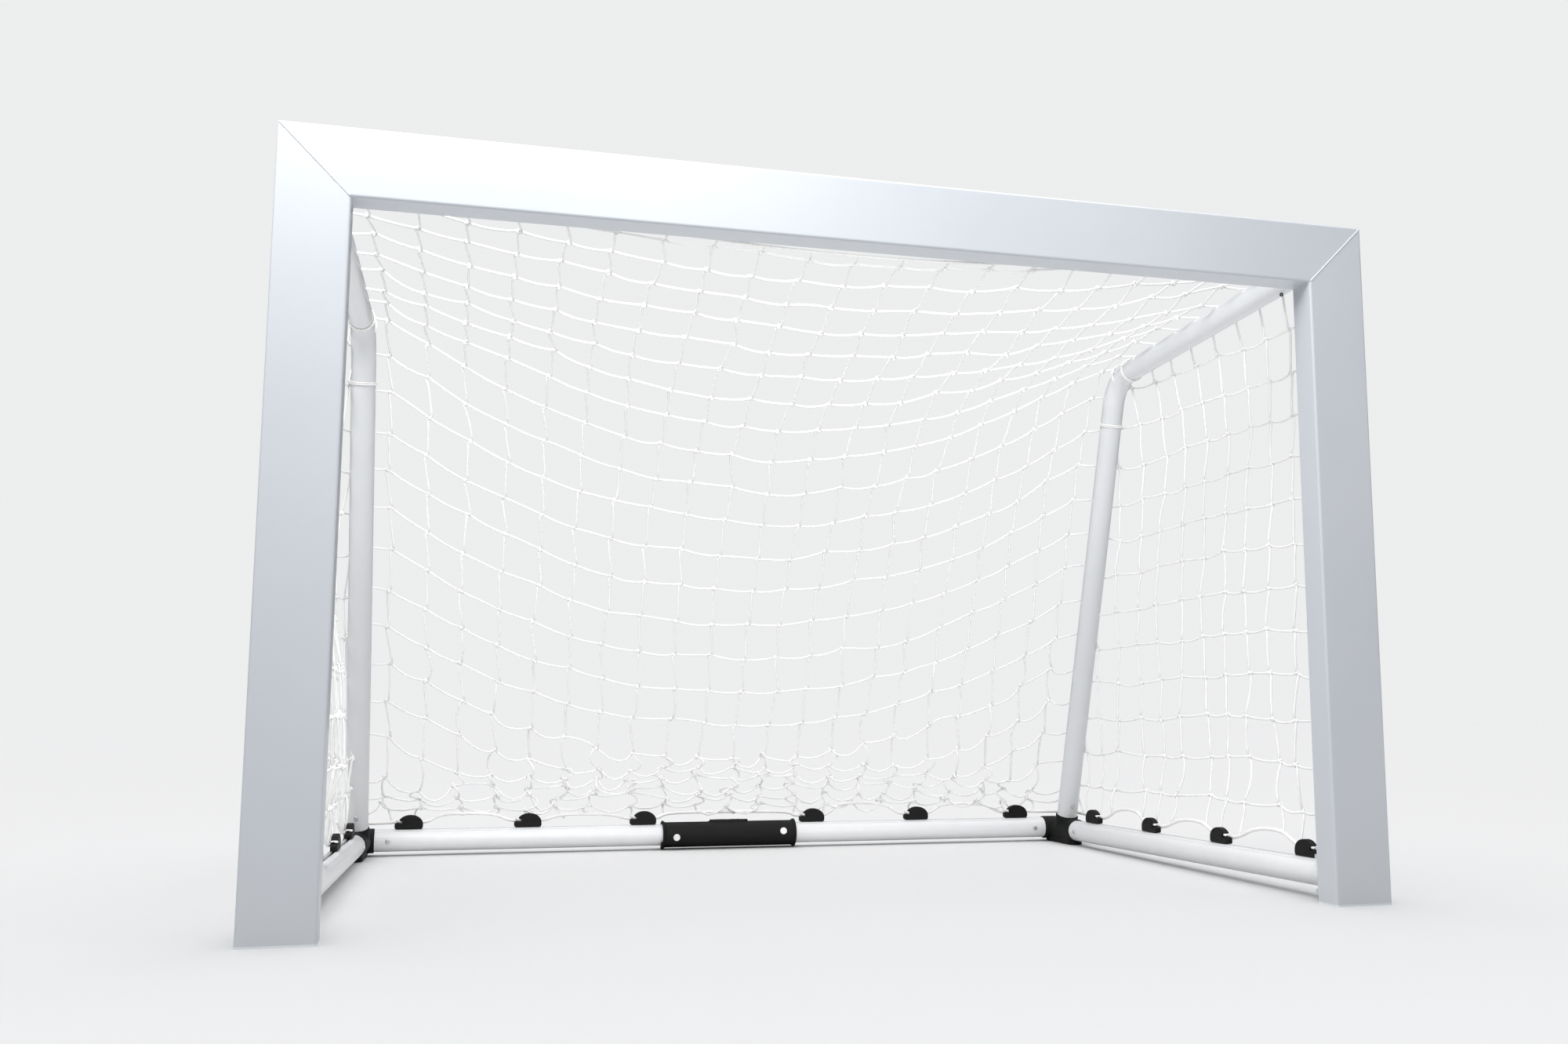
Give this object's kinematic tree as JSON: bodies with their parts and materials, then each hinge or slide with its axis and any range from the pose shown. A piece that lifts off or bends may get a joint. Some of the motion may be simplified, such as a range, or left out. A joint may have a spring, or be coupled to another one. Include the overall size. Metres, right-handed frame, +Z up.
{
  "type": "football goal",
  "caption": "Small free-standing football goal: mitred white front frame, bent rear tubes on a ground bar, black corner joints and sliding hooks, and a hung square-mesh net.",
  "frame": {"origin": "on the ground, at the centre of the goal's footprint", "axes": "+X to the right as seen from the field, +Y from the goal mouth to the rear, +Z up"},
  "size_m": [1.7, 1.09, 1.1],
  "materials": {
    "frame_paint": "white powder coat, satin",
    "tube_paint": "white powder coat, satin",
    "plug_plastic": "moulded, light grey",
    "corner_plastic": "moulded, black, fine texture",
    "hook_plastic": "moulded, black",
    "net_cord": "braided cord, off-white",
    "border_rope": "braided rope, off-white",
    "clip_plastic": "moulded, white",
    "bolt_steel": "zinc plated",
    "screw_steel": "zinc plated",
    "ring_screws": "white enamelled heads"
  },
  "bodies": {
    "goal_frame": {"back_net": "net_cord", "border_rope": "border_rope", "centre_sleeve": "corner_plastic", "crossbar": "frame_paint", "crossbar_net_clips": "clip_plastic", "fork_bolts": "bolt_steel", "fork_nuts": "bolt_steel", "left_corner_elbow": "corner_plastic", "left_foot_fork": "frame_paint", "left_foot_plug": "plug_plastic", "left_post": "frame_paint", "left_rear_bar": "tube_paint", "left_side_net": "net_cord", "left_side_rail": "tube_paint", "left_stanchion": "tube_paint", "left_top_bracket": "frame_paint", "post_net_clips": "clip_plastic", "right_corner_elbow": "corner_plastic", "right_foot_fork": "frame_paint", "right_foot_plug": "plug_plastic", "right_post": "frame_paint", "right_rear_bar": "tube_paint", "right_side_net": "net_cord", "right_side_rail": "tube_paint", "right_stanchion": "tube_paint", "right_top_bracket": "frame_paint", "roof_net": "net_cord", "sleeve_screws": "ring_screws", "tube_screws": "screw_steel"},
    "rear_hook_1": {"rear_hook_1": "hook_plastic"},
    "rear_hook_2": {"rear_hook_2": "hook_plastic"},
    "rear_hook_3": {"rear_hook_3": "hook_plastic"},
    "rear_hook_4": {"rear_hook_4": "hook_plastic"},
    "rear_hook_5": {"rear_hook_5": "hook_plastic"},
    "rear_hook_6": {"rear_hook_6": "hook_plastic"},
    "left_rail_hook_1": {"left_rail_hook_1": "hook_plastic"},
    "left_rail_hook_2": {"left_rail_hook_2": "hook_plastic"},
    "left_rail_hook_3": {"left_rail_hook_3": "hook_plastic"},
    "left_rail_hook_4": {"left_rail_hook_4": "hook_plastic"},
    "right_rail_hook_1": {"right_rail_hook_1": "hook_plastic"},
    "right_rail_hook_2": {"right_rail_hook_2": "hook_plastic"},
    "right_rail_hook_3": {"right_rail_hook_3": "hook_plastic"},
    "right_rail_hook_4": {"right_rail_hook_4": "hook_plastic"}
  },
  "joints": [
    {"name": "rear_hook_1_slide", "type": "slide", "parent": "goal_frame", "child": "rear_hook_1", "axis": [1, 0, 0], "range_m": [-0.02, 0.02]},
    {"name": "rear_hook_2_slide", "type": "slide", "parent": "goal_frame", "child": "rear_hook_2", "axis": [1, 0, 0], "range_m": [-0.02, 0.02]},
    {"name": "rear_hook_3_slide", "type": "slide", "parent": "goal_frame", "child": "rear_hook_3", "axis": [1, 0, 0], "range_m": [-0.02, 0.01]},
    {"name": "rear_hook_4_slide", "type": "slide", "parent": "goal_frame", "child": "rear_hook_4", "axis": [1, 0, 0], "range_m": [-0.01, 0.02]},
    {"name": "rear_hook_5_slide", "type": "slide", "parent": "goal_frame", "child": "rear_hook_5", "axis": [1, 0, 0], "range_m": [-0.02, 0.02]},
    {"name": "rear_hook_6_slide", "type": "slide", "parent": "goal_frame", "child": "rear_hook_6", "axis": [1, 0, 0], "range_m": [-0.02, 0.02]},
    {"name": "left_rail_hook_1_slide", "type": "slide", "parent": "goal_frame", "child": "left_rail_hook_1", "axis": [0.0388, 0.9992, -0.01], "range_m": [-0.005, 0.02]},
    {"name": "left_rail_hook_2_slide", "type": "slide", "parent": "goal_frame", "child": "left_rail_hook_2", "axis": [0.0388, 0.9992, -0.01], "range_m": [-0.02, 0.02]},
    {"name": "left_rail_hook_3_slide", "type": "slide", "parent": "goal_frame", "child": "left_rail_hook_3", "axis": [0.0388, 0.9992, -0.01], "range_m": [-0.02, 0.02]},
    {"name": "left_rail_hook_4_slide", "type": "slide", "parent": "goal_frame", "child": "left_rail_hook_4", "axis": [0.0388, 0.9992, -0.01], "range_m": [-0.02, 0.02]},
    {"name": "right_rail_hook_1_slide", "type": "slide", "parent": "goal_frame", "child": "right_rail_hook_1", "axis": [-0.0388, 0.9992, -0.01], "range_m": [-0.005, 0.02]},
    {"name": "right_rail_hook_2_slide", "type": "slide", "parent": "goal_frame", "child": "right_rail_hook_2", "axis": [-0.0388, 0.9992, -0.01], "range_m": [-0.02, 0.02]},
    {"name": "right_rail_hook_3_slide", "type": "slide", "parent": "goal_frame", "child": "right_rail_hook_3", "axis": [-0.0388, 0.9992, -0.01], "range_m": [-0.02, 0.02]},
    {"name": "right_rail_hook_4_slide", "type": "slide", "parent": "goal_frame", "child": "right_rail_hook_4", "axis": [-0.0388, 0.9992, -0.01], "range_m": [-0.02, 0.02]}
  ]
}
